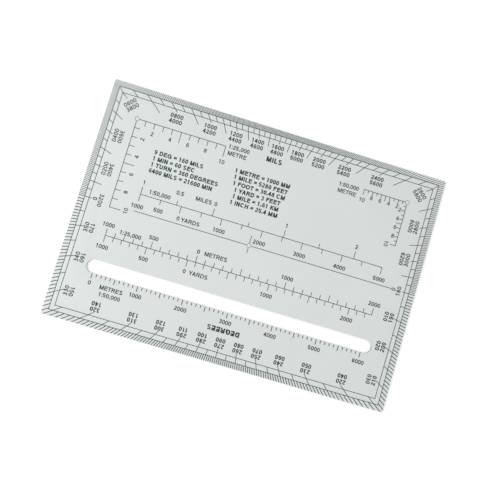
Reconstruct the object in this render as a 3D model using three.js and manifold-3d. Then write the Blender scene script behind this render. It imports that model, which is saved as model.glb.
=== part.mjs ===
// Map coordinate reader: a flat card of clear plastic that is laid on a map.
// Millimetres. The origin is on the underside, below the middle of the two angle scales.
// +X runs along the base line to the zero of the degree scale, +Y to the mil scale, +Z up.
// The card is a laminate: a rigid sheet, a film over it, and the scales printed on the film.
import * as THREE from 'three';
import { mergeVertices } from 'three/addons/utils/BufferGeometryUtils.js';
import Module from 'manifold-3d';

const wasm = await Module();
wasm.setup();

// Card
const card_length = 152;
const card_width = 105;
const corner_radius = 0.6;
const sheet_thickness = 0.8;
const film_thickness = 0.16;
const ink_thickness = 0.04;
const arc_steps = 8;

// Slot
const slot_from_ends = 12.2;
const slot_width = 6;
const slot_centre_below_base_line = 27.4;

// Rings printed round the points that are laid on the map: the middle of the angles, and the
// zero of each roamer. The lines that lead to a ring stop clear of it.
const ring_radius = 0.94;
const ring_line_width = 0.12;
const line_from_ring = 0.06;
const ring_steps = 16;

// Widths of the printed lines
const line_width = 0.24;
const mil_line_width = 0.2;
const degree_line_width = 0.3;

// Two frame lines round the border, each measured from the card's ends and sides
const outer_frame_from_ends = 2.7;
const outer_frame_from_sides = 2.5;
const inner_frame_from_ends = 4.7;
const inner_frame_from_sides = 4.8;

// Where the longer ticks of the two angle scales stop
const numbered_mil_from_ends = 5.8;
const numbered_mil_from_sides = 6.1;
const long_mil_from_ends = 8;
const long_mil_from_sides = 8.5;
const corner_mil_from_ends = 7.25;
const corner_mil_from_sides = 6.55;
const ten_degree_from_ends = 6.4;
const ten_degree_from_sides = 6.5;

// Divisions of the two angle scales
const mils_in_half = 3200;
const mil_step = 10;
const mil_ladder_step = 50;
const mil_long_step = 100;
const mil_numbered_step = 200;
const degrees_in_half = 180;
const degree_ladder_step = 5;
const degree_long_step = 10;

// Base line and the pair of ticks on either side of the middle ring
const base_line_from_left_end = 24.3;
const base_line_from_right_end = 11;
const upper_tick_length = 3.4;
const lower_tick_length = 2.4;

// Distances on the maps: a hundred metres at each of the two map scales, and the hundreds in a
// thousand metres or yards
const hundred_metres_25000 = 4;
const hundred_metres_50000 = 2;
const yard_share = 0.9144;
const mile_share = 16.09344;
const thousand_divisions = 10;

// Roamers: two arms of ticks that read a grid reference inside a map square
const roamer_25000_from_left_end = 14;
const roamer_25000_from_side = 13.9;
const roamer_25000_tick = 2.4;
const roamer_25000_long_tick = 4.8;
const roamer_50000_from_right_end = 14.2;
const roamer_50000_from_side = 14.05;
const roamer_50000_tick = 1.2;
const roamer_50000_even_tick = 1.75;
const roamer_50000_long_tick = 2.4;

// Straight scale of miles and yards at 1:50,000, above the base line
const mile_scale_above_base_line = 7.65;
const mile_scale_from_left_end = 25;
const mile_scale_from_right_end = 17;
const mile_tick = 3.4;
const half_mile_tick = 2;
const thousand_yard_tick = 3;
const half_thousand_yard_tick = 2;

// Straight scale of metres and yards at 1:25,000, below the base line
const metre_scale_below_base_line = 13.55;
const metre_scale_from_left_end = 16;
const metre_scale_from_right_end = 15.9;
const straight_tick = 2;
const straight_long_tick = 3;

// Scale of metres at 1:50,000 along the lower edge of the slot
const slot_scale_from_slot_end = 0.4;
const slot_tick = 1.3;
const slot_long_tick = 2.3;

// Places worked out from the sizes above
const half_length = card_length / 2;
const half_width = card_width / 2;
const slot_half_straight = half_length - slot_from_ends - slot_width / 2;
const slot_lower_y = -slot_centre_below_base_line - slot_width / 2;
const outer_frame = frame_at(outer_frame_from_ends, outer_frame_from_sides);
const inner_frame = frame_at(inner_frame_from_ends, inner_frame_from_sides);
const roamer_25000_x = roamer_25000_from_left_end - half_length;
const roamer_25000_y = half_width - roamer_25000_from_side;
const roamer_50000_x = half_length - roamer_50000_from_right_end;
const roamer_50000_y = half_width - roamer_50000_from_side;
const half_thousand_divisions = thousand_divisions / 2;
const ring_clear = ring_radius + ring_line_width / 2 + line_from_ring;

const sheet_material = new THREE.MeshStandardMaterial({ color: 0xd8dedc, roughness: 0.35, metalness: 0 });
const film_material = new THREE.MeshStandardMaterial({ color: 0xdde2e0, roughness: 0.55, metalness: 0 });
const ink_material = new THREE.MeshStandardMaterial({ color: 0x3e4a48, roughness: 0.6, metalness: 0 });

// A rectangle that lies this far inside the card's ends and sides.
function frame_at(from_ends, from_sides) {
  return { half_x: half_length - from_ends, half_y: half_width - from_sides };
}

function grown(frame, by) {
  return { half_x: frame.half_x + by, half_y: frame.half_y + by };
}

// three.js geometry to a solid that can be joined, and back.
function solid_of(geometry) {
  geometry.deleteAttribute('normal');
  geometry.deleteAttribute('uv');
  const merged = mergeVertices(geometry);
  const vertProperties = merged.attributes.position.array;
  const triVerts = new Uint32Array(merged.index.array);
  return new wasm.Manifold(new wasm.Mesh({ numProp: 3, vertProperties, triVerts }));
}

function geometry_of(solid) {
  const mesh = solid.getMesh();
  const indexed = new THREE.BufferGeometry();
  indexed.setAttribute('position', new THREE.BufferAttribute(mesh.vertProperties, 3));
  indexed.setIndex(new THREE.BufferAttribute(mesh.triVerts, 1));
  const geometry = indexed.toNonIndexed();
  geometry.computeVertexNormals();
  return geometry;
}

function extruded(shape, depth, curveSegments = arc_steps) {
  return new THREE.ExtrudeGeometry(shape, { depth, bevelEnabled: false, curveSegments });
}

// The card's outline with its slot, as both of its layers are cut.
function card_shape() {
  const x = half_length - corner_radius;
  const y = half_width - corner_radius;
  const shape = new THREE.Shape();
  shape.absarc(x, y, corner_radius, 0, Math.PI / 2);
  shape.absarc(-x, y, corner_radius, Math.PI / 2, Math.PI);
  shape.absarc(-x, -y, corner_radius, Math.PI, 1.5 * Math.PI);
  shape.absarc(x, -y, corner_radius, 1.5 * Math.PI, 2 * Math.PI);
  const slot = new THREE.Path();
  const slot_y = -slot_centre_below_base_line;
  slot.absarc(slot_half_straight, slot_y, slot_width / 2, -Math.PI / 2, Math.PI / 2);
  slot.absarc(-slot_half_straight, slot_y, slot_width / 2, Math.PI / 2, 1.5 * Math.PI);
  shape.holes.push(slot);
  return shape;
}

// A printed line by itself, from one point to another along X or Y.
function line_shape(x0, y0, x1, y1) {
  const half = line_width / 2;
  const wide = x0 === x1 ? half : 0;
  const tall = y0 === y1 ? half : 0;
  return new THREE.Shape([
    new THREE.Vector2(x0 - wide, y0 - tall),
    new THREE.Vector2(x1 + wide, y0 - tall),
    new THREE.Vector2(x1 + wide, y1 + tall),
    new THREE.Vector2(x0 - wide, y1 + tall),
  ]);
}

// Where one side of a stroke meets a frame. The stroke runs outwards from a point at an angle,
// and its side lies at an offset from its middle, to the left of its way out if positive.
function meet(stroke, offset, frame) {
  const way_x = Math.cos(stroke.angle);
  const way_y = Math.sin(stroke.angle);
  const x = stroke.x - way_y * offset;
  const y = stroke.y + way_x * offset;
  const end_x = way_x < 0 ? -frame.half_x : frame.half_x;
  const side_y = way_y < 0 ? -frame.half_y : frame.half_y;
  const to_end = Math.abs((end_x - x) / way_x);
  const to_side = Math.abs((side_y - y) / way_y);
  if (to_end < to_side) return { x: end_x, y: y + way_y * to_end, on_end: true };
  return { x: x + way_x * to_side, y: side_y, on_end: false };
}

// A print drawn flat, as triangles that share their points, and then given the ink's depth.
class FlatPrint {
  constructor() {
    this.points = [];
    this.faces = [];
    this.places = new Map();
  }

  index_of(point) {
    const place = `${point.x.toFixed(4)} ${point.y.toFixed(4)}`;
    if (!this.places.has(place)) {
      this.places.set(place, this.points.length);
      this.points.push(point);
    }
    return this.places.get(place);
  }

  face(...corners) {
    const [a, b, c] = corners.map((corner) => this.points[corner]);
    const area = (b.x - a.x) * (c.y - a.y) - (b.y - a.y) * (c.x - a.x);
    this.faces.push(area > 0 ? corners : corners.toReversed());
  }

  // Fills the band between two rows of points that run side by side, by the shorter diagonals.
  band(one_row, other_row) {
    const one = [...new Set(one_row.map((point) => this.index_of(point)))];
    const other = [...new Set(other_row.map((point) => this.index_of(point)))];
    const apart = (a, b) => Math.hypot(
      this.points[a].x - this.points[b].x, this.points[a].y - this.points[b].y);
    let i = 0;
    let j = 0;
    while (i + 1 < one.length || j + 1 < other.length) {
      const along_one = i + 1 < one.length ? apart(one[i + 1], other[j]) : Infinity;
      const along_other = j + 1 < other.length ? apart(one[i], other[j + 1]) : Infinity;
      if (along_one <= along_other) {
        this.face(one[i], one[i + 1], other[j]);
        i += 1;
      } else {
        this.face(one[i], other[j + 1], other[j]);
        j += 1;
      }
    }
  }

  // The slab of ink: both faces, and a wall along each edge that only one triangle has.
  geometry(depth) {
    const positions = [];
    const add = (corner, z) => positions.push(this.points[corner].x, this.points[corner].y, z);
    const edges = new Set(this.faces.flatMap(([a, b, c]) => [`${a} ${b}`, `${b} ${c}`, `${c} ${a}`]));
    for (const [a, b, c] of this.faces) {
      [a, b, c].forEach((corner) => add(corner, depth));
      [c, b, a].forEach((corner) => add(corner, 0));
      for (const [from, to] of [[a, b], [b, c], [c, a]]) {
        if (edges.has(`${to} ${from}`)) continue;
        add(from, 0);
        add(to, 0);
        add(to, depth);
        add(from, 0);
        add(to, depth);
        add(from, depth);
      }
    }
    const slab = new THREE.BufferGeometry();
    slab.setAttribute('position', new THREE.Float32BufferAttribute(positions, 3));
    slab.computeVertexNormals();
    return slab;
  }
}

// Goes on along a frame to the next point, round the frame's corner where one lies between.
function follow(row, next) {
  const last = row.at(-1);
  if (last && last.on_end !== next.on_end) {
    const on_end = last.on_end ? last : next;
    const on_side = last.on_end ? next : last;
    row.push({ x: on_end.x, y: on_side.y });
  }
  row.push(next);
}

// The points on a frame where the strokes of a set cross it. A stroke's own pair of points is
// joined straight, so a frame's corner that lies under a stroke is left to the stroke.
function crossings(strokes, frame) {
  const row = [];
  for (const stroke of strokes) {
    follow(row, meet(stroke, stroke.left, frame));
    row.push(meet(stroke, -stroke.right, frame));
  }
  return row;
}

// A stroke from one frame to another. Over a frame's corner its end is cut straight across.
function stroke_band(print, stroke, near_frame, far_frame) {
  print.band(
    [meet(stroke, stroke.left, near_frame), meet(stroke, stroke.left, far_frame)],
    [meet(stroke, -stroke.right, near_frame), meet(stroke, -stroke.right, far_frame)]);
}

// One half of the border: two frame lines, the graduations outside them, the rungs of the
// ladder between them, and the longer ticks inside them. Every stroke lies on its own ray from
// the middle, so its length and its lean change all along the oblong border.
// The strokes come in clockwise order, and the first and the last lie on the base line,
// where this half of the border has one side of them and the other half has the other.
function border_print(graduations, rungs, ticks) {
  const half = line_width / 2;
  const card_edge = frame_at(0, 0);
  const print = new FlatPrint();
  print.band(
    crossings(graduations, grown(outer_frame, half)), crossings(rungs, grown(outer_frame, -half)));
  print.band(
    crossings(rungs, grown(inner_frame, half)), crossings(ticks, grown(inner_frame, -half)));
  graduations.forEach((stroke) => stroke_band(print, stroke, grown(outer_frame, half), card_edge));
  rungs.forEach((stroke) => stroke_band(
    print, stroke, grown(inner_frame, half), grown(outer_frame, -half)));
  ticks.forEach((stroke) => stroke_band(print, stroke, grown(inner_frame, -half), stroke.stop));
  return print;
}

// Strokes on rays from the middle, spaced evenly over half a circle from an angle on, clockwise.
// The half strokes on the base line have a width to one side only.
function rays(start, divisions, step, width) {
  const strokes = [];
  for (let count = 0; count <= divisions; count += step) {
    strokes.push({
      x: 0,
      y: 0,
      angle: start - (Math.PI * count) / divisions,
      count,
      left: count === 0 ? 0 : width / 2,
      right: count === divisions ? 0 : width / 2,
    });
  }
  return strokes;
}

// The rung of the ladder that lies nearest to the inner frame's corner, as counted from the
// near end of the base line.
function corner_rung() {
  const rungs_in_half = mils_in_half / mil_ladder_step;
  const corner_angle = Math.atan2(inner_frame.half_y, inner_frame.half_x);
  return mil_ladder_step * Math.round((rungs_in_half * corner_angle) / Math.PI);
}

// The mitre that joins the corners of the two frame lines.
function mitre(side) {
  const x = side * inner_frame.half_x;
  const y = inner_frame.half_y;
  const angle = Math.atan2(outer_frame.half_y - y, side * outer_frame.half_x - x);
  return { x, y, angle, left: line_width / 2, right: line_width / 2 };
}

// Mil scale: 3200 mils over the upper half, counted from the left end of the base line.
// At the card's two upper corners the ladder has a mitre for its rung.
function mil_scale() {
  const numbered = frame_at(numbered_mil_from_ends, numbered_mil_from_sides);
  const long = frame_at(long_mil_from_ends, long_mil_from_sides);
  const corner = frame_at(corner_mil_from_ends, corner_mil_from_sides);
  const left_corner = corner_rung();
  const right_corner = mils_in_half - left_corner;
  const rungs = rays(Math.PI, mils_in_half, mil_ladder_step, line_width).map((stroke) => {
    if (stroke.count === left_corner) return mitre(-1);
    return stroke.count === right_corner ? mitre(1) : stroke;
  });
  const ticks = rays(Math.PI, mils_in_half, mil_long_step, line_width).map((stroke) => {
    if ([left_corner, right_corner].includes(stroke.count)) return { ...stroke, stop: corner };
    return { ...stroke, stop: stroke.count % mil_numbered_step === 0 ? numbered : long };
  });
  return border_print(rays(Math.PI, mils_in_half, mil_step, mil_line_width), rungs, ticks);
}

// Degree scale: 180 degrees over the lower half, counted from the right end of the base line.
function degree_scale() {
  const numbered = frame_at(numbered_mil_from_ends, numbered_mil_from_sides);
  const long = frame_at(ten_degree_from_ends, ten_degree_from_sides);
  const rungs = rays(0, degrees_in_half, degree_ladder_step, line_width);
  const ticks = rays(0, degrees_in_half, degree_long_step, line_width).map((stroke) => (
    { ...stroke, stop: stroke.count % degrees_in_half === 0 ? numbered : long }));
  return border_print(rays(0, degrees_in_half, 1, degree_line_width), rungs, ticks);
}

// A straight line along +X, from a start to past its farthest tick, with ticks over and under it.
function comb_print(start_x, over, under) {
  const half = line_width / 2;
  const end_x = Math.max(...[...over, ...under].map((tick) => tick.x));
  const print = new FlatPrint();
  const row = (ticks, y) => [
    { x: start_x, y },
    ...ticks.flatMap((tick) => [{ x: tick.x - half, y }, { x: tick.x + half, y }]),
    { x: end_x + half, y },
  ];
  print.band(row(over, half), row(under, -half));
  const stand = (tick, y) => print.band(
    [{ x: tick.x - half, y }, { x: tick.x - half, y: tick.y }],
    [{ x: tick.x + half, y }, { x: tick.x + half, y: tick.y }]);
  over.forEach((tick) => stand(tick, half));
  under.forEach((tick) => stand(tick, -half));
  return print;
}

// The ticks of one unit along a straight scale: how far along it, and how far they stand off.
function tick_row(zero_x, pitch, first, last, length_of) {
  const ticks = [];
  for (let count = first; count <= last; count += 1) {
    ticks.push({ x: zero_x + count * pitch, y: length_of(count) });
  }
  return ticks;
}

// One arm of a roamer runs from its ring, and its ticks stand to one side of it.
function roamer_arm(pitch, side, length_of) {
  const ticks = tick_row(0, pitch, 1, thousand_divisions, (count) => side * length_of(count));
  return side > 0 ? comb_print(ring_clear, ticks, []) : comb_print(ring_clear, [], ticks);
}

function roamer_25000_tick_at(count) {
  return count % half_thousand_divisions === 0 ? roamer_25000_long_tick : roamer_25000_tick;
}

function roamer_50000_tick_at(count) {
  if (count % half_thousand_divisions === 0) return roamer_50000_long_tick;
  return count % 2 === 0 ? roamer_50000_even_tick : roamer_50000_tick;
}

// A scale of two units that start together, one over the line and one under it. Each has as
// many whole divisions as there is room for between its two ends on the card.
function double_scale(from_left_end, from_right_end, over, under) {
  const left_x = from_left_end - half_length;
  const room = card_length - from_left_end - from_right_end;
  const row = ({ pitch, length_of }, side) => tick_row(
    left_x, pitch, 0, Math.floor(room / pitch), (count) => side * length_of(count));
  return comb_print(left_x - line_width / 2, row(over, 1), row(under, -1));
}

function mile_scale() {
  const half_miles = {
    pitch: (mile_share * hundred_metres_50000) / 2,
    length_of: (count) => (count % 2 === 0 ? mile_tick : half_mile_tick),
  };
  const half_thousand_yards = {
    pitch: half_thousand_divisions * yard_share * hundred_metres_50000,
    length_of: (count) => (count % 2 === 0 ? thousand_yard_tick : half_thousand_yard_tick),
  };
  return double_scale(
    mile_scale_from_left_end, mile_scale_from_right_end, half_miles, half_thousand_yards);
}

function metre_scale() {
  const length_of = (count) => (
    count % half_thousand_divisions === 0 ? straight_long_tick : straight_tick);
  return double_scale(metre_scale_from_left_end, metre_scale_from_right_end,
    { pitch: hundred_metres_25000, length_of },
    { pitch: yard_share * hundred_metres_25000, length_of });
}

// The film carries the slot's scale itself: separate ticks that run down from the slot's edge.
function printed_film() {
  const rooted = film_thickness / 2;
  const start_x = slot_scale_from_slot_end - slot_half_straight;
  const divisions = Math.floor((slot_half_straight - start_x) / hundred_metres_50000);
  const ticks = [];
  for (let count = 0; count <= divisions; count += 1) {
    const x = start_x + count * hundred_metres_50000;
    const length = count % half_thousand_divisions === 0 ? slot_long_tick : slot_tick;
    const tick = extruded(line_shape(x, slot_lower_y - length, x, slot_lower_y),
      film_thickness + ink_thickness - rooted);
    tick.translate(0, 0, rooted);
    ticks.push(solid_of(tick));
  }
  const film = solid_of(extruded(card_shape(), film_thickness));
  return geometry_of(film.add(wasm.Manifold.union(ticks)));
}

function piece(name, geometry, material, z) {
  const mesh = new THREE.Mesh(geometry, material);
  mesh.name = name;
  mesh.position.z = z;
  return mesh;
}

function line_print(name, x0, y0, x1, y1) {
  return piece(name, extruded(line_shape(x0, y0, x1, y1), ink_thickness), ink_material, 0);
}

function ring_print(name, x, y) {
  const ring = new THREE.Shape();
  ring.absarc(x, y, ring_radius + ring_line_width / 2, 0, 2 * Math.PI);
  const inside = new THREE.Path();
  inside.absarc(x, y, ring_radius - ring_line_width / 2, 0, 2 * Math.PI);
  ring.holes.push(inside);
  return piece(name, extruded(ring, ink_thickness, ring_steps), ink_material, 0);
}

// A print is drawn round the middle, or along +X from zero and then turned and moved.
function scale_print(name, print, x = 0, y = 0, turn = 0) {
  const geometry = print.geometry(ink_thickness);
  geometry.rotateZ(turn);
  geometry.translate(x, y, 0);
  return piece(name, geometry, ink_material, 0);
}

// All the prints lie on the film's upper face.
const prints = new THREE.Group();
prints.position.z = sheet_thickness + film_thickness;
prints.add(
  scale_print('mil_scale_print', mil_scale()),
  scale_print('degree_scale_print', degree_scale()),
  ring_print('centre_ring_print', 0, 0),
  line_print('base_line_left_print', base_line_from_left_end - half_length, 0, -ring_clear, 0),
  line_print('base_line_right_print', ring_clear, 0, half_length - base_line_from_right_end, 0),
  line_print('centre_tick_upper_print', 0, ring_clear, 0, ring_clear + upper_tick_length),
  line_print('centre_tick_lower_print', 0, -ring_clear - lower_tick_length, 0, -ring_clear),
  ring_print('roamer_25000_ring_print', roamer_25000_x, roamer_25000_y),
  scale_print('roamer_25000_east_arm_print',
    roamer_arm(hundred_metres_25000, -1, roamer_25000_tick_at), roamer_25000_x, roamer_25000_y),
  scale_print('roamer_25000_south_arm_print',
    roamer_arm(hundred_metres_25000, 1, roamer_25000_tick_at),
    roamer_25000_x, roamer_25000_y, -Math.PI / 2),
  ring_print('roamer_50000_ring_print', roamer_50000_x, roamer_50000_y),
  scale_print('roamer_50000_west_arm_print',
    roamer_arm(hundred_metres_50000, 1, roamer_50000_tick_at),
    roamer_50000_x, roamer_50000_y, Math.PI),
  scale_print('roamer_50000_south_arm_print',
    roamer_arm(hundred_metres_50000, -1, roamer_50000_tick_at),
    roamer_50000_x, roamer_50000_y, -Math.PI / 2),
  scale_print('miles_and_yards_scale_print', mile_scale(), 0, mile_scale_above_base_line),
  scale_print('metres_and_yards_scale_print', metre_scale(), 0, -metre_scale_below_base_line),
);

const card = new THREE.Group();
card.add(
  piece('base_sheet', extruded(card_shape(), sheet_thickness), sheet_material, 0),
  piece('printed_film', printed_film(), film_material, sheet_thickness),
  prints,
);

export default card;
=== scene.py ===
import math

import bmesh
import bpy
from mathutils import Matrix, Vector


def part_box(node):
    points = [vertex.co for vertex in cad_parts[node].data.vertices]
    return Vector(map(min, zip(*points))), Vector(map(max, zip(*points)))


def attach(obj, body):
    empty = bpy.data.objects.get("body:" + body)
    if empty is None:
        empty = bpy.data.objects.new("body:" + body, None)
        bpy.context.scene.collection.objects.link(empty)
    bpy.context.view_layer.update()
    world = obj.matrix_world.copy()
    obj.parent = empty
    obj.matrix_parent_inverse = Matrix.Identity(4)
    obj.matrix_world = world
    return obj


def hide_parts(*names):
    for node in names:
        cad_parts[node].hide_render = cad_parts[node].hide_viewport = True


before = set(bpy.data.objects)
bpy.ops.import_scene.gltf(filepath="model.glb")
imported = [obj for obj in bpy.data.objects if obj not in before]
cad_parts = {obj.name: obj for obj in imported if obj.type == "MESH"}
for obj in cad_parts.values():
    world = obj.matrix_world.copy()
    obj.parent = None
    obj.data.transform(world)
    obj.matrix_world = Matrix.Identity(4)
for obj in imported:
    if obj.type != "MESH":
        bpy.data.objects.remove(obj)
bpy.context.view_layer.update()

MM = 0.001

# The card's outline and the heights of its layers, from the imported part
HALF_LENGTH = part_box("base_sheet")[1].x / MM
HALF_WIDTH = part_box("base_sheet")[1].y / MM
sheet_low, sheet_top = (corner.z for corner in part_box("base_sheet"))
ink_low, ink_top = (corner.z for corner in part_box("mil_scale_print"))

# The card's corners and its slot, in millimetres, as the CAD has them
CORNER_RADIUS = 0.6
SLOT_Y = -27.4
SLOT_RADIUS = 3
SLOT_HALF_STRAIGHT = 60.8

# How far the cut edges of the two layers are rounded, in millimetres
SHEET_EDGE = 0.09
FILM_EDGE = 0.03

# No two faces lie in one plane: the layers stand apart, and strokes that cross differ in height.
LAYER_GAP = 0.002 * MM
STROKE_STEP = 0.002 * MM
STROKE_LEVELS = 5


# Materials

PLASTIC_IOR = 1.49
FLOOR_GLOW = 0.22


def node_material(name):
    material = bpy.data.materials.new(name)
    material.use_nodes = True
    nodes = material.node_tree.nodes
    nodes.clear()
    output = nodes.new("ShaderNodeOutputMaterial")
    shader = nodes.new("ShaderNodeBsdfPrincipled")
    material.node_tree.links.new(shader.outputs["BSDF"], output.inputs["Surface"])
    return material, material.node_tree, shader


def noise(tree, scale, detail, roughness=0.5):
    place = tree.nodes.new("ShaderNodeTexCoord")
    texture = tree.nodes.new("ShaderNodeTexNoise")
    texture.inputs["Scale"].default_value = scale
    texture.inputs["Detail"].default_value = detail
    texture.inputs["Roughness"].default_value = roughness
    tree.links.new(place.outputs["Object"], texture.inputs["Vector"])
    return texture.outputs["Fac"]


def ramp(tree, value, low, high):
    """Turns a value into a colour. low and high are each a position and the colour there."""
    node = tree.nodes.new("ShaderNodeValToRGB")
    for element, (position, colour) in zip(node.color_ramp.elements, (low, high)):
        element.position = position
        element.color = (*colour, 1)
    tree.links.new(value, node.inputs["Fac"])
    return node.outputs["Color"]


def grey(value):
    return (value, value, value)


def film_material():
    """Matt film: a faint cloudiness, a sheen that handling has made uneven, and a fine ripple."""
    material, tree, shader = node_material("matt_film")
    cloud = noise(tree, 28, 3, 0.6)
    colour = ramp(tree, cloud, (0.3, (0.650, 0.684, 0.672)), (0.7, (0.674, 0.706, 0.693)))
    tree.links.new(colour, shader.inputs["Base Color"])
    handling = noise(tree, 90, 3, 0.6)
    rough = ramp(tree, handling, (0.35, grey(0.44)), (0.65, grey(0.58)))
    tree.links.new(rough, shader.inputs["Roughness"])
    ripple = noise(tree, 260, 1)
    bump = tree.nodes.new("ShaderNodeBump")
    bump.inputs["Strength"].default_value = 0.1
    bump.inputs["Distance"].default_value = 0.02 * MM
    tree.links.new(ripple, bump.inputs["Height"])
    tree.links.new(bump.outputs["Normal"], shader.inputs["Normal"])
    shader.inputs["IOR"].default_value = PLASTIC_IOR
    return material


def sheet_material():
    """Clear rigid plastic with a slight smear on its cut edges."""
    material, tree, shader = node_material("clear_sheet")
    cloud = noise(tree, 40, 2)
    colour = ramp(tree, cloud, (0.3, (0.86, 0.91, 0.90)), (0.7, (0.90, 0.94, 0.93)))
    tree.links.new(colour, shader.inputs["Base Color"])
    smear = noise(tree, 160, 4)
    rough = ramp(tree, smear, (0.35, grey(0.10)), (0.65, grey(0.22)))
    tree.links.new(rough, shader.inputs["Roughness"])
    shader.inputs["IOR"].default_value = PLASTIC_IOR
    shader.inputs["Transmission Weight"].default_value = 0.85
    return material


def ink_material():
    """Screen ink, nearly black with some green and blue, laid on a little unevenly."""
    material, tree, shader = node_material("screen_ink")
    patch = noise(tree, 900, 4, 0.65)
    colour = ramp(tree, patch, (0.32, (0.005, 0.031, 0.031)), (0.70, (0.010, 0.044, 0.044)))
    tree.links.new(colour, shader.inputs["Base Color"])
    grain = noise(tree, 4000, 2)
    rough = ramp(tree, grain, (0.35, grey(0.5)), (0.65, grey(0.68)))
    tree.links.new(rough, shader.inputs["Roughness"])
    shader.inputs["Specular IOR Level"].default_value = 0.3
    return material


def math_node(tree, operation, one, two):
    """A math node on one socket and another socket, or on a socket and a number."""
    node = tree.nodes.new("ShaderNodeMath")
    node.operation = operation
    tree.links.new(one, node.inputs[0])
    if isinstance(two, float):
        node.inputs[1].default_value = two
    else:
        tree.links.new(two, node.inputs[1])
    return node.outputs[0]


def floor_material():
    """A pale floor that glows where it is seen, also in a reflection or through the sheet."""
    material, tree, shader = node_material("pale_floor")
    grain = noise(tree, 60, 3)
    colour = ramp(tree, grain, (0.3, grey(0.86)), (0.7, grey(0.88)))
    tree.links.new(colour, shader.inputs["Base Color"])
    shader.inputs["Roughness"].default_value = 0.9
    shader.inputs["Specular IOR Level"].default_value = 0.1
    path = tree.nodes.new("ShaderNodeLightPath").outputs
    seen = math_node(tree, "MAXIMUM", path["Is Camera Ray"], path["Is Transmission Ray"])
    seen = math_node(tree, "MAXIMUM", seen, path["Is Glossy Ray"])
    glow = tree.nodes.new("ShaderNodeEmission")
    tree.links.new(math_node(tree, "MULTIPLY", seen, FLOOR_GLOW), glow.inputs["Strength"])
    total = tree.nodes.new("ShaderNodeAddShader")
    output = next(node for node in tree.nodes if node.type == "OUTPUT_MATERIAL")
    tree.links.new(shader.outputs["BSDF"], total.inputs[0])
    tree.links.new(glow.outputs["Emission"], total.inputs[1])
    tree.links.new(total.outputs[0], output.inputs["Surface"])
    return material


film_finish = film_material()
sheet_finish = sheet_material()
ink_finish = ink_material()


# The laminate: sheet and film, each with its outline, its slot and softened edges

CORNER_STEPS = 6
SLOT_END_STEPS = 28
EDGE_STEPS = 3
SMOOTH_UNDER = 35


def arc_points(x, y, radius, start, end, steps):
    """Points along part of a circle, with both of its ends."""
    points = []
    for step in range(steps + 1):
        angle = math.radians(start + (end - start) * step / steps)
        points.append((x + radius * math.cos(angle), y + radius * math.sin(angle)))
    return points


def card_loops(inset):
    """The outline and the slot's edge, each drawn in by the inset."""
    x, y = HALF_LENGTH - CORNER_RADIUS, HALF_WIDTH - CORNER_RADIUS
    radius = CORNER_RADIUS - inset
    outline = []
    for turn, (sx, sy) in enumerate([(1, 1), (-1, 1), (-1, -1), (1, -1)]):
        outline += arc_points(sx * x, sy * y, radius, 90 * turn, 90 * turn + 90, CORNER_STEPS)
    radius = SLOT_RADIUS + inset
    slot = arc_points(SLOT_HALF_STRAIGHT, SLOT_Y, radius, -90, 90, SLOT_END_STEPS)
    slot += arc_points(-SLOT_HALF_STRAIGHT, SLOT_Y, radius, 90, 270, SLOT_END_STEPS)
    return [outline, slot]


def laminate_layer(name, low, top, soft, finish):
    """A layer of the card whose edges are rounded by the soft radius, in millimetres."""
    profile = []
    for step in range(EDGE_STEPS + 1):
        angle = math.radians(90 / EDGE_STEPS * step)
        profile.append((soft * (1 - math.sin(angle)), low + soft * MM * (1 - math.cos(angle))))
    profile += [(inset, low + top - z) for inset, z in reversed(profile)]
    bm = bmesh.new()
    rows = []
    for inset, z in profile:
        loops = card_loops(inset)
        rows.append([[bm.verts.new((x * MM, y * MM, z)) for x, y in loop] for loop in loops])
    for below, above in zip(rows, rows[1:]):
        for low_loop, high_loop in zip(below, above):
            count = len(low_loop)
            for i in range(count):
                j = (i + 1) % count
                face = bm.faces.new((low_loop[i], low_loop[j], high_loop[j], high_loop[i]))
                face.smooth = True
    for row in (rows[0], rows[-1]):
        rim = []
        for loop in row:
            rim += [bm.edges.get(pair) for pair in zip(loop, loop[1:] + loop[:1])]
        bmesh.ops.triangle_fill(bm, use_beauty=True, use_dissolve=False, edges=rim)
    bmesh.ops.recalc_face_normals(bm, faces=bm.faces)
    mesh = bpy.data.meshes.new(name)
    bm.to_mesh(mesh)
    bm.free()
    mesh.set_sharp_from_angle(angle=math.radians(SMOOTH_UNDER))
    mesh.materials.append(finish)
    layer = bpy.data.objects.new(name, mesh)
    bpy.context.scene.collection.objects.link(layer)
    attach(layer, "root")
    return layer


rigid_sheet = laminate_layer(
    "rigid_sheet", sheet_low, sheet_top, SHEET_EDGE, sheet_finish)
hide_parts("base_sheet")
cover_film = laminate_layer(
    "cover_film", sheet_top + LAYER_GAP, ink_low - LAYER_GAP, FILM_EDGE, film_finish)
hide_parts("printed_film")

for node_name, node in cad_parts.items():
    if node_name.endswith("_print"):
        node.data.materials.clear()
        node.data.materials.append(ink_finish)


# Ink that the CAD leaves to this script: figures, words and the ticks of the slot's scale

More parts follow.
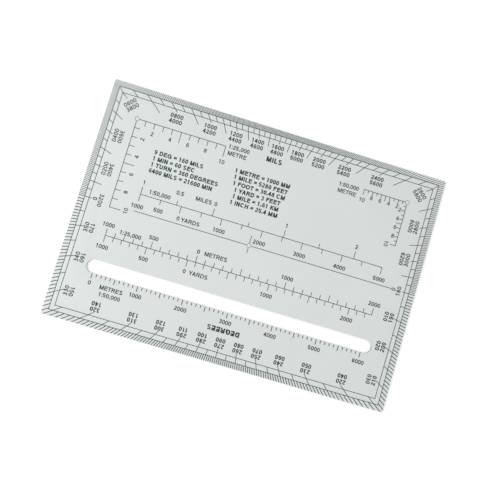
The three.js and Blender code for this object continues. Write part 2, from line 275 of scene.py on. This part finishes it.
class Ink:
    """Strokes of ink on the film. Each one is a thin slab between two rows of points."""

    def __init__(self):
        self.verts = []
        self.faces = []
        self.place = Matrix.Identity(3)
        self.strokes = 0

    def at(self, x, y, size, turn):
        """The strokes that follow start at x, y in millimetres, at this size and turn."""
        angle = math.radians(turn)
        c, s = size * math.cos(angle), size * math.sin(angle)
        self.place = Matrix(((c, -s, x), (s, c, y), (0, 0, 1)))

    def slab(self, left, right):
        """A ribbon from row to row. Both ends are closed, also where they meet in a ring."""
        base = len(self.verts)
        top = ink_top - STROKE_STEP * (self.strokes % STROKE_LEVELS)
        self.strokes += 1
        for pair in zip(left, right):
            for x, y in pair:
                px, py, _ = self.place @ Vector((x, y, 1))
                self.verts.append((px * MM, py * MM, ink_low))
                self.verts.append((px * MM, py * MM, top))
        for i in range(len(left) - 1):
            a, b = base + 4 * i, base + 4 * i + 4
            self.faces += [
                (a + 1, a + 3, b + 3, b + 1),
                (a, b, b + 2, a + 2),
                (a, a + 1, b + 1, b),
                (a + 2, b + 2, b + 3, a + 3),
            ]
        end = base + 4 * (len(left) - 1)
        self.faces += [(base, base + 2, base + 3, base + 1), (end, end + 1, end + 3, end + 2)]

    def piece(self, name):
        mesh = bpy.data.meshes.new(name)
        mesh.from_pydata(self.verts, [], self.faces)
        bm = bmesh.new()
        bm.from_mesh(mesh)
        bmesh.ops.recalc_face_normals(bm, faces=bm.faces)
        bm.to_mesh(mesh)
        bm.free()
        mesh.materials.append(ink_finish)
        lettering = bpy.data.objects.new(name, mesh)
        bpy.context.scene.collection.objects.link(lettering)
        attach(lettering, "root")


# Strokes of the figures and capitals, in heights of a capital. Each is drawn from its own lower
# left corner, and w is the width of its upright strokes. Level strokes are a little thinner,
# ovals are a little squarer than an ellipse, and tight curves are no bolder than the last value.

LEVEL = 0.92
CURVE_POWER = 2.25
RING_STEP = 15
BOLDEST_CURVE = 0.2


def round_point(cx, cy, rx, ry, degrees):
    """A point on an oval that is a little squarer than an ellipse."""
    c, s = math.cos(math.radians(degrees)), math.sin(math.radians(degrees))
    power = 2 / CURVE_POWER
    return (
        cx + rx * math.copysign(abs(c) ** power, c),
        cy + ry * math.copysign(abs(s) ** power, s),
    )


def ring(ink, w, cx, cy, rx, ry, start=0, end=360):
    """An oval stroke, or part of one, inside the radii."""
    steps = max(4, round(abs(end - start) / RING_STEP))
    turns = [start + (end - start) * step / steps for step in range(steps + 1)]
    ink.slab(
        [round_point(cx, cy, rx, ry, turn) for turn in turns],
        [round_point(cx, cy, rx - w, ry - LEVEL * w, turn) for turn in turns])


def stem(ink, w, x, low=0.0, top=1.0):
    """An upright stroke whose left side is at x."""
    ink.slab([(x, low), (x, top)], [(x + w, low), (x + w, top)])


def bar(ink, w, y, left, right):
    """A level stroke whose lower side is at y."""
    ink.slab([(left, y), (right, y)], [(left, y + LEVEL * w), (right, y + LEVEL * w)])


def top_bar(ink, w, left, right):
    """A level stroke along the top of a character."""
    bar(ink, w, 1 - LEVEL * w, left, right)


def slant(ink, w, x0, y0, x1, y1):
    """A slanting stroke whose middle runs between the points, with both ends cut level."""
    half = w / 2 * math.hypot(x1 - x0, y1 - y0) / abs(y1 - y0)
    ink.slab([(x0 - half, y0), (x1 - half, y1)], [(x0 + half, y0), (x1 + half, y1)])


def trail(ink, w, points):
    """A curved stroke along a row of points."""
    left, right = [], []
    for i, (x, y) in enumerate(points):
        before, after = points[max(i - 1, 0)], points[min(i + 1, len(points) - 1)]
        dx, dy = after[0] - before[0], after[1] - before[1]
        length = math.hypot(dx, dy)
        nx, ny = -dy / length * w / 2, dx / length * w / 2
        left.append((x + nx, y + ny))
        right.append((x - nx, y - ny))
    ink.slab(left, right)


def curve(cx, cy, rx, ry, turns):
    """Points along part of an oval."""
    return [round_point(cx, cy, rx, ry, turn) for turn in turns]


def six(ink, w):
    """The figure 6, which is also the 9 upside down."""
    ring(ink, w, 0.395, 0.325, 0.315, 0.325)
    ring(ink, w, 0.425, 0.5, 0.345, 0.5, 205, 42)


def draw_figure(ink, figure, w):
    if figure == "0":
        ring(ink, w, 0.388, 0.5, 0.338, 0.5)
    elif figure == "1":
        stem(ink, w, 0.52 - w)
        ink.slab([(0.14, 0.70), (0.46, 0.80)], [(0.14, 0.81), (0.52 - w, 1.0)])
    elif figure == "2":
        hook = curve(0.385, 0.705, 0.30 - w / 2, 0.295 - w / 2, range(172, -34, -16))
        trail(ink, w, hook + [(0.47, 0.45), (0.32, 0.34), (0.19, 0.22), (0.135, 0.06)])
        bar(ink, w, 0, 0.06, 0.71)
    elif figure == "3":
        rise = LEVEL / 2 * w
        trail(ink, w, curve(0.375, 0.735, 0.275 - w / 2, 0.265 - rise, range(162, -83, -16)))
        trail(ink, w, curve(0.375, 0.285, 0.315 - w / 2, 0.285 - rise, range(82, -167, -16)))
        bar(ink, w, 0.52 - rise, 0.27, 0.42)
    elif figure == "4":
        slant(ink, w, 0.10, 0.27, 0.49, 1.0)
        bar(ink, w, 0.225, 0.03, 0.74)
        stem(ink, w, 0.60 - w)
    elif figure == "5":
        top_bar(ink, w, 0.16, 0.67)
        slant(ink, w, 0.13, 0.43, 0.205, 1.0)
        ring(ink, w, 0.375, 0.325, 0.32, 0.325, 142, -165)
    elif figure == "6":
        six(ink, w)
    elif figure == "7":
        top_bar(ink, w, 0.06, 0.72)
        trail(ink, w, [(0.655, 0.95), (0.52, 0.74), (0.41, 0.50), (0.34, 0.25), (0.31, 0.0)])
    elif figure == "8":
        ring(ink, w, 0.388, 0.735, 0.285, 0.265)
        ring(ink, w, 0.388, 0.285, 0.325, 0.285)
    elif figure == "9":
        upright = ink.place.copy()
        ink.place = upright @ Matrix(((-1, 0, 0.776), (0, -1, 1), (0, 0, 1)))
        six(ink, w)
        ink.place = upright


def draw_capital(ink, capital, w):
    if capital == "A":
        slant(ink, w, 0.02 + 0.55 * w, 0, 0.466, 1.0)
        slant(ink, w, 0.91 - 0.55 * w, 0, 0.466, 1.0)
        bar(ink, w, 0.24, 0.18, 0.75)
    elif capital == "C":
        ring(ink, w, 0.50, 0.5, 0.44, 0.5, 38, 322)
    elif capital == "D":
        stem(ink, w, 0.11)
        top_bar(ink, w, 0.11, 0.50)
        bar(ink, w, 0, 0.11, 0.50)
        ring(ink, w, 0.49, 0.5, 0.45, 0.5, -90, 90)
    elif capital == "E":
        stem(ink, w, 0.11)
        top_bar(ink, w, 0.11, 0.85)
        bar(ink, w, 0.46, 0.11, 0.80)
        bar(ink, w, 0, 0.11, 0.87)
    elif capital == "F":
        stem(ink, w, 0.11)
        top_bar(ink, w, 0.11, 0.80)
        bar(ink, w, 0.46, 0.11, 0.72)
    elif capital == "G":
        ring(ink, w, 0.52, 0.5, 0.46, 0.5, 40, 335)
        bar(ink, w, 0.42, 0.55, 0.99)
        stem(ink, w, 0.99 - w, 0, 0.45)
    elif capital == "H":
        stem(ink, w, 0.11)
        stem(ink, w, 0.90 - w)
        bar(ink, w, 0.46, 0.11, 0.90)
    elif capital == "I":
        stem(ink, w, 0.194 - w / 2)
    elif capital == "K":
        stem(ink, w, 0.11)
        slant(ink, w, 0.22, 0.32, 0.80, 1.0)
        slant(ink, w, 0.84, 0, 0.41, 0.58)
    elif capital == "L":
        stem(ink, w, 0.11)
        bar(ink, w, 0, 0.11, 0.74)
    elif capital == "M":
        stem(ink, w, 0.10)
        stem(ink, w, 1.063 - w)
        slant(ink, w, 0.10 + 0.6 * w, 1.0, 0.582, 0)
        slant(ink, w, 1.063 - 0.6 * w, 1.0, 0.582, 0)
    elif capital == "N":
        stem(ink, w, 0.10)
        stem(ink, w, 0.908 - w)
        slant(ink, w, 0.10 + 0.6 * w, 1.0, 0.908 - 0.6 * w, 0)
    elif capital == "O":
        ring(ink, w, 0.543, 0.5, 0.49, 0.5)
    elif capital == "R":
        stem(ink, w, 0.11)
        top_bar(ink, w, 0.11, 0.62)
        bar(ink, w, 0.42, 0.11, 0.62)
        ring(ink, w, 0.60, 0.71, 0.31, 0.29, -90, 90)
        slant(ink, w, 0.66, 0.44, 0.86, 0)
    elif capital == "S":
        upper = curve(0.465, 0.735, 0.37 - w / 2, 0.265 - w / 2, range(25, 241, 18))
        lower = curve(0.465, 0.265, 0.385 - w / 2, 0.265 - w / 2, range(60, -157, -18))
        trail(ink, w, upper + lower)
    elif capital == "T":
        stem(ink, w, 0.427 - w / 2)
        top_bar(ink, w, 0.03, 0.824)
    elif capital == "U":
        stem(ink, w, 0.11, 0.36)
        stem(ink, w, 0.90 - w, 0.36)
        ring(ink, w, 0.505, 0.38, 0.395, 0.38, 180, 360)
    elif capital == "Y":
        slant(ink, w, 0.03 + 0.5 * w, 1.0, 0.466, 0.38)
        slant(ink, w, 0.90 - 0.5 * w, 1.0, 0.466, 0.38)
        stem(ink, w, 0.466 - w / 2, 0, 0.42)


def draw_sign(ink, sign, w):
    dot = 1.15 * w
    if sign in ":.,":
        stem(ink, dot, 0.194 - dot / 2, 0, dot)
    if sign == ":":
        stem(ink, dot, 0.194 - dot / 2, 0.55, 0.55 + dot)
    elif sign == ",":
        slant(ink, 0.6 * w, 0.15, -0.19, 0.22, 0.02)
    elif sign == "=":
        bar(ink, w, 0.27, 0.07, 0.745)
        bar(ink, w, 0.55, 0.07, 0.745)


def draw(ink, character, w):
    """Draws one character. Those with tight curves stay open where the rest is bold."""
    if character in "235689S":
        w = min(w, BOLDEST_CURVE)
    if character.isdigit():
        draw_figure(ink, character, w)
    elif character.isalpha():
        draw_capital(ink, character, w)
    else:
        draw_sign(ink, character, w)


# How far each character moves the next one on, in heights of a capital
ADVANCE = {
    **dict.fromkeys("0123456789L", 0.776),
    **dict.fromkeys("AEKSY", 0.931),
    **dict.fromkeys("CDHNRU", 1.008),
    **dict.fromkeys("GO", 1.086),
    **dict.fromkeys("FT", 0.853),
    **dict.fromkeys(":.,I ", 0.388),
    "M": 1.163,
    "=": 0.816,
}

# Pairs that stand closer than that, in heights of a capital
CLOSER = {"11": 0.25, "YA": 0.09}

# Heights of the figures and capitals, in millimetres: on the border, on the straight scales, in
# the sums of units, and in the two bold words
BORDER_SIZE = 1.88
SCALE_SIZE = 1.81
SUM_SIZE = 1.9
MILS_SIZE = 2.22
DEGREES_SIZE = 2.2

# How close the words of the straight scales stand, as a share of their advances
SCALE_SPREAD = 0.98

# A hundred metres on the two maps, in millimetres
HUNDRED_25000 = 4
HUNDRED_50000 = 2

# The places below are in millimetres from the middle of the card, and w is the width of the
# strokes in heights of a capital. Both were fitted to the photo.


def write(ink, words, x, y, size=SCALE_SIZE, turn=0, align=0.5, w=0.185, spread=1.0):
    """Writes words whose middle height is at y. align is the share of them left of x."""
    steps = [ADVANCE[character] * spread for character in words]
    for i in range(len(words) - 1):
        steps[i] -= CLOSER.get(words[i:i + 2], 0)
    angle = math.radians(turn)
    along = -sum(steps) * align * size
    for character, step in zip(words, steps):
        start = along + (step - ADVANCE[character]) * size / 2
        px = x + start * math.cos(angle) + size / 2 * math.sin(angle)
        py = y + start * math.sin(angle) - size / 2 * math.cos(angle)
        ink.at(px, py, size, turn)
        draw(ink, character, w)
        along += step * size


def write_row(ink, y, places):
    """Writes several words at one height, each around its own x."""
    for words, x in places:
        write(ink, words, x, y, spread=SCALE_SPREAD)


def border_figures(ink, words, x, y, turn, w=0.18, spread=1.008):
    write(ink, words, x, y, BORDER_SIZE, turn, w=w, spread=spread)


# The numbers of the border stand where the rays from the middle reach these heights, in the two
# rows, or these distances to the side, in the two columns. A few are printed a little off.
ROW_REACH = 46
COLUMN_REACH = 70
HALF_TURN_MILS = 3200


def mil_figures():
    ink = Ink()
    for mils in range(800, 2401, 200):
        x = -ROW_REACH / math.tan(math.pi * mils / HALF_TURN_MILS)
        shift = 0.12 if 1000 <= mils < 2000 else 0
        border_figures(ink, f"{mils:04d}", x - shift, 44.8, 0, w=0.2)
        border_figures(ink, f"{mils + HALF_TURN_MILS}", x + 0.04, 42.35, 0, w=0.198)
    border_figures(ink, "0600", -66.98, 44.45, 45, w=0.165, spread=1.015)
    border_figures(ink, "3800", -65.35, 42.68, 45, w=0.165, spread=1.015)
    border_figures(ink, "2600", 67.0, 44.4, -45, w=0.17, spread=1.01)
    border_figures(ink, "5800", 65.32, 42.65, -45, w=0.17, spread=1.01)
    for mils in (200, 400):
        y = COLUMN_REACH * math.tan(math.pi * mils / HALF_TURN_MILS)
        border_figures(ink, f"{mils:04d}", -68.75, y - 0.05, 90, w=0.165, spread=1.02)
        border_figures(ink, f"{HALF_TURN_MILS + mils}", -66.28, y - 0.04, -90, w=0.165)
        border_figures(ink, f"{HALF_TURN_MILS - mils}", 68.62, y - 0.06, 90, w=0.18)
        border_figures(ink, f"{2 * HALF_TURN_MILS - mils}", 66.25, y - 0.08, -90, w=0.185)
    border_figures(ink, "0", -68.8, 0.22, 90)
    border_figures(ink, "3200", -66.35, 0.13, -90, w=0.17)
    write(ink, "MILS", 0.03, 38.72, size=MILS_SIZE, w=0.255, spread=1.03)
    ink.piece("mil_figures")


def degree_figures():
    ink = Ink()
    for degrees in range(40, 141, 10):
        shift = 0.33 if degrees == 70 else 0
        x = ROW_REACH / math.tan(math.radians(degrees)) - shift
        border_figures(ink, f"{degrees + 180}", x + 0.02, -44.86, 180, w=0.22)
        border_figures(ink, f"{degrees:03d}", x + 0.04, -42.43, 180, w=0.22, spread=1.0)
    for degrees in (10, 20, 30):
        y = -COLUMN_REACH * math.tan(math.radians(degrees))
        border_figures(ink, f"{degrees + 180}", 68.67, y - 0.05, 90, w=0.215)
        border_figures(ink, f"{degrees:03d}", 66.3, y, -90, w=0.205, spread=0.99)
        border_figures(ink, f"{360 - degrees}", -68.7, y - 0.05, 90, spread=1.02)
        border_figures(ink, f"{180 - degrees}", -66.3, y + 0.13, -90, spread=0.98)
    border_figures(ink, "0", 66.2, 0, -90)
    border_figures(ink, "180", 68.6, -0.27, 90)
    write(ink, "DEGREES", -0.07, -38.2, size=DEGREES_SIZE, turn=180, w=0.275, spread=0.98)
    ink.piece("degree_figures")


def roamer_25000_figures():
    ink = Ink()
    for hundreds in (2, 4, 6, 8):
        along = HUNDRED_25000 * hundreds
        write(ink, str(hundreds), -61.95 + along, 34.05, w=0.165)
        write(ink, str(hundreds), -57.3, 38.64 - along, turn=90, w=0.165)
    write(ink, "10", -21.9, 31.45, w=0.165)
    write(ink, "10", -54.95, -1.1, turn=90, w=0.165)
    write(ink, "1:25,000", -20.95, 39.03, align=0, spread=SCALE_SPREAD)
    write(ink, "METRE", -20.5, 36.15, align=0, spread=SCALE_SPREAD)
    ink.piece("roamer_25000_figures")


def roamer_50000_figures():
    ink = Ink()
    for hundreds in (2, 4, 6, 8):
        along = HUNDRED_50000 * hundreds
        write(ink, str(hundreds), 61.8 - along, 35.6, w=0.155)
        write(ink, str(hundreds), 59.4, 38.45 - along, w=0.155)
    write(ink, "10", 41.85, 33.75, w=0.155)
    write(ink, "10", 57.55, 18.37, turn=-90, w=0.155)
    write(ink, "1:50,000", 30.1, 37.8, align=0, w=0.175, spread=0.945)
    write(ink, "METRE", 30.3, 34.93, align=0, w=0.17, spread=SCALE_SPREAD)
    ink.piece("roamer_50000_figures")


def mile_scale_figures():
    ink = Ink()
    write_row(ink, 13.02, [
        ("1", -50.9), ("0.5", -34.8), ("MILES", -24.24), ("0", -18.82), ("1", 13.4), ("2", 45.55),
    ])
    write_row(ink, 9.9, [("1:50,000", -43.08)])
    write_row(ink, 3.07, [("500", -41.75)])
    write_row(ink, 2.34, [
        ("1000", -50.93), ("0", -32.6), ("YARDS", -27.06), ("1000", -14.4), ("2000", 3.84),
        ("3000", 22.13), ("4000", 40.5), ("5000", 58.73),
    ])
    ink.piece("mile_scale_figures")


def metre_scale_figures():
    ink = Ink()
    write_row(ink, -8.81, [
        ("1000", -59.98), ("500", -39.95), ("0", -20), ("METRES", -12.24), ("1000", 19.94),
        ("2000", 59.9),
    ])
    write_row(ink, -10.34, [("1:25,000", -49.93)])
    write_row(ink, -18.52, [
        ("1000", -59.98), ("500", -41.72), ("0", -23.45), ("YARDS", -17.2), ("1000", 13.12),
        ("2000", 49.69),
    ])
    ink.piece("metre_scale_figures")


# The scale along the slot: a tick for each hundred metres at 1:50,000, every fifth one longer
SLOT_TICKS = 61
FIRST_SLOT_TICK = -60.4
SLOT_TICK_HALF_WIDTH = 0.15
SLOT_TICK = 1.3
SLOT_LONG_TICK = 2.3
TICK_FROM_SLOT = 0.03


def slot_scale():
    ink = Ink()
    slot_side = SLOT_Y - SLOT_RADIUS
    for count in range(SLOT_TICKS):
        x = FIRST_SLOT_TICK + HUNDRED_50000 * count
        left, right = x - SLOT_TICK_HALF_WIDTH, x + SLOT_TICK_HALF_WIDTH
        low = slot_side - (SLOT_LONG_TICK if count % 5 == 0 else SLOT_TICK)
        top = slot_side - TICK_FROM_SLOT
        ink.slab([(left, low), (left, top)], [(right, low), (right, top)])
    write(ink, "0", FIRST_SLOT_TICK, -34.55)
    for thousands in range(1, 7):
        x = -60.35 + 10 * HUNDRED_50000 * thousands
        write(ink, f"{thousands}000", x, -34.56, spread=0.975)
    write(ink, "METRES", -50.74, -35.06, w=0.195, spread=0.975)
    write(ink, "1:50,000", -50.72, -38.0, spread=SCALE_SPREAD)
    ink.piece("slot_scale_ink")


# Plain sums of units, in two blocks
LEFT_SUMS = [
    "9 DEG = 160 MILS",
    "1 MIN = 60 SEC",
    "1 TURN = 360 DEGREES",
    "6400 MILS = 21600 MIN",
]
RIGHT_SUMS = [
    "1 METRE = 1000 MM",
    "1 MILE = 5280 FEET",
    "1 FOOT = 30.48 CM",
    "1 YARD = 3 FEET",
    "1 MILE = 1.61 KM",
    "1 INCH = 25.4 MM",
]


def conversion_lines():
    ink = Ink()
    for row, words in enumerate(LEFT_SUMS):
        y = 27.0 - 2.75 * row
        write(ink, words, -50.75, y, size=SUM_SIZE, align=0, w=0.235, spread=0.99)
    for row, words in enumerate(RIGHT_SUMS):
        y = 29.75 - 2.78 * row
        write(ink, words, -2.6, y, size=SUM_SIZE, w=0.24, spread=0.99)
    ink.piece("conversion_lines")


mil_figures()
degree_figures()
roamer_25000_figures()
roamer_50000_figures()
mile_scale_figures()
metre_scale_figures()
slot_scale()
conversion_lines()


# Floor, light and camera

FLOOR_SIZE = 6
FLOOR_DROP = 0.02 * MM

bpy.ops.mesh.primitive_plane_add(size=FLOOR_SIZE, location=(0, 0, -FLOOR_DROP))
floor = bpy.context.object
floor.name = "floor"
floor.data.materials.append(floor_material())

# The world lights the object a little below the white that the camera sees.
WORLD_LIGHT = 0.86
WORLD_SEEN = 1.0

world = bpy.data.worlds.new("studio")
bpy.context.scene.world = world
world.use_nodes = True
background = world.node_tree.nodes["Background"]
background.inputs["Color"].default_value = (1, 1, 1, 1)
seen = world.node_tree.nodes.new("ShaderNodeLightPath")
strength = world.node_tree.nodes.new("ShaderNodeMapRange")
strength.inputs["To Min"].default_value = WORLD_LIGHT
strength.inputs["To Max"].default_value = WORLD_SEEN
world.node_tree.links.new(seen.outputs["Is Camera Ray"], strength.inputs["Value"])
world.node_tree.links.new(strength.outputs["Result"], background.inputs["Strength"])

SOFTBOX_PLACE = Vector((-0.31, -0.03, 0.29))
SOFTBOX_AIM = Vector((-0.03, 0, 0))
SOFTBOX_SIDE = 0.28
SOFTBOX_POWER = 0.56

softbox = bpy.data.lights.new("left_softbox", "AREA")
softbox.shape = "RECTANGLE"
softbox.size = SOFTBOX_SIDE
softbox.size_y = SOFTBOX_SIDE
softbox.energy = SOFTBOX_POWER
lamp = bpy.data.objects.new("left_softbox", softbox)
lamp.location = SOFTBOX_PLACE
lamp.rotation_euler = (SOFTBOX_AIM - SOFTBOX_PLACE).to_track_quat("-Z", "Y").to_euler()
bpy.context.scene.collection.objects.link(lamp)

# The camera's place over the printed face and its three directions, fitted to the photo
CAMERA_PLACE = Vector((-0.012987, -0.011557, 0.215590 + ink_top))
CAMERA_RIGHT = Vector((0.956476, 0.286556, 0.055135))
CAMERA_UP = Vector((-0.289080, 0.956248, 0.044972))
CAMERA_BACK = Vector((-0.039836, -0.058953, 0.997466))

camera_data = bpy.data.cameras.new("camera")
camera_data.lens = 37.5
camera_data.sensor_width = 36
camera_data.clip_start = 0.005
camera_data.clip_end = 20
camera = bpy.data.objects.new("camera", camera_data)
turn = Matrix((CAMERA_RIGHT, CAMERA_UP, CAMERA_BACK)).transposed().to_4x4()
camera.matrix_world = Matrix.Translation(CAMERA_PLACE) @ turn
bpy.context.scene.collection.objects.link(camera)
bpy.context.scene.camera = camera

bpy.context.scene.view_settings.view_transform = "Standard"
